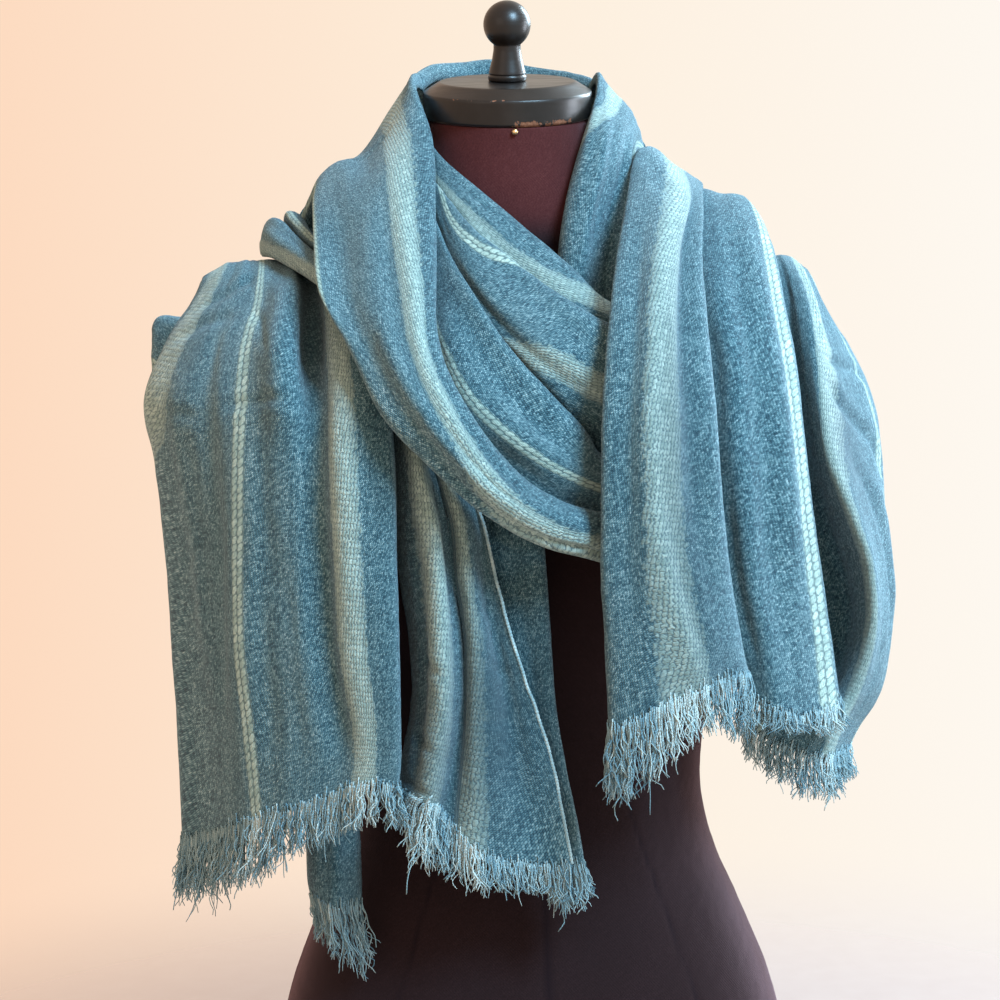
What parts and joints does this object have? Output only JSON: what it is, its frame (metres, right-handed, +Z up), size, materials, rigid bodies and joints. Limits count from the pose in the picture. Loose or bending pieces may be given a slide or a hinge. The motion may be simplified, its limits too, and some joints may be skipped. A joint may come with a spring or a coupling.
{
  "type": "striped woven scarf draped on a limbless dress form",
  "caption": "Long woven scarf with pale lengthwise stripes and short fringe, wound around the neck of a limbless dress form whose covered torso stands on its flat base.",
  "frame": {"origin": "centre of the dress form's flat base", "axes": "+Z up along the form's axis; the form's front faces -Y; +X is to the right of someone who looks at its front"},
  "size_m": [0.5032, 0.3791, 0.8026],
  "materials": {
    "base_board": "plain sealed board",
    "form_cover": "matte jersey knit, dark plum",
    "lacquered_wood": "black lacquer, worn to brown wood at the rim",
    "pin_brass": "polished pin head",
    "scarf_cloth": "soft brushed weave in teal and denim blue with pale aqua stripes",
    "scarf_yarn": "loose wavy yarn ends"
  },
  "bodies": {
    "root": {"form_base_plate": "base_board", "form_body": "form_cover", "neck_cap": "lacquered_wood", "finial": "lacquered_wood", "neck_pin": "pin_brass", "left_front_end": "scarf_cloth", "left_rear_tail": "scarf_cloth", "left_inner_end": "scarf_cloth", "left_inner_rear": "scarf_cloth", "neck_loop_front": "scarf_cloth", "neck_cross_upper": "scarf_cloth", "neck_cross_middle": "scarf_cloth", "neck_cross_lower": "scarf_cloth", "neck_collar_right": "scarf_cloth", "right_front_end": "scarf_cloth", "right_side_panel": "scarf_cloth", "right_side_drape": "scarf_cloth", "left_shoulder_roll": "scarf_cloth", "left_shoulder_roll_upper": "scarf_cloth", "neck_collar_back": "scarf_cloth", "upper_back_drape": "scarf_cloth", "fringe_left_front": "scarf_yarn", "fringe_left_tail": "scarf_yarn", "fringe_left_inner": "scarf_yarn", "fringe_left_inner_rear": "scarf_yarn", "fringe_right_front": "scarf_yarn", "fringe_right_panel": "scarf_yarn", "fringe_right_drape": "scarf_yarn"}
  },
  "joints": []
}
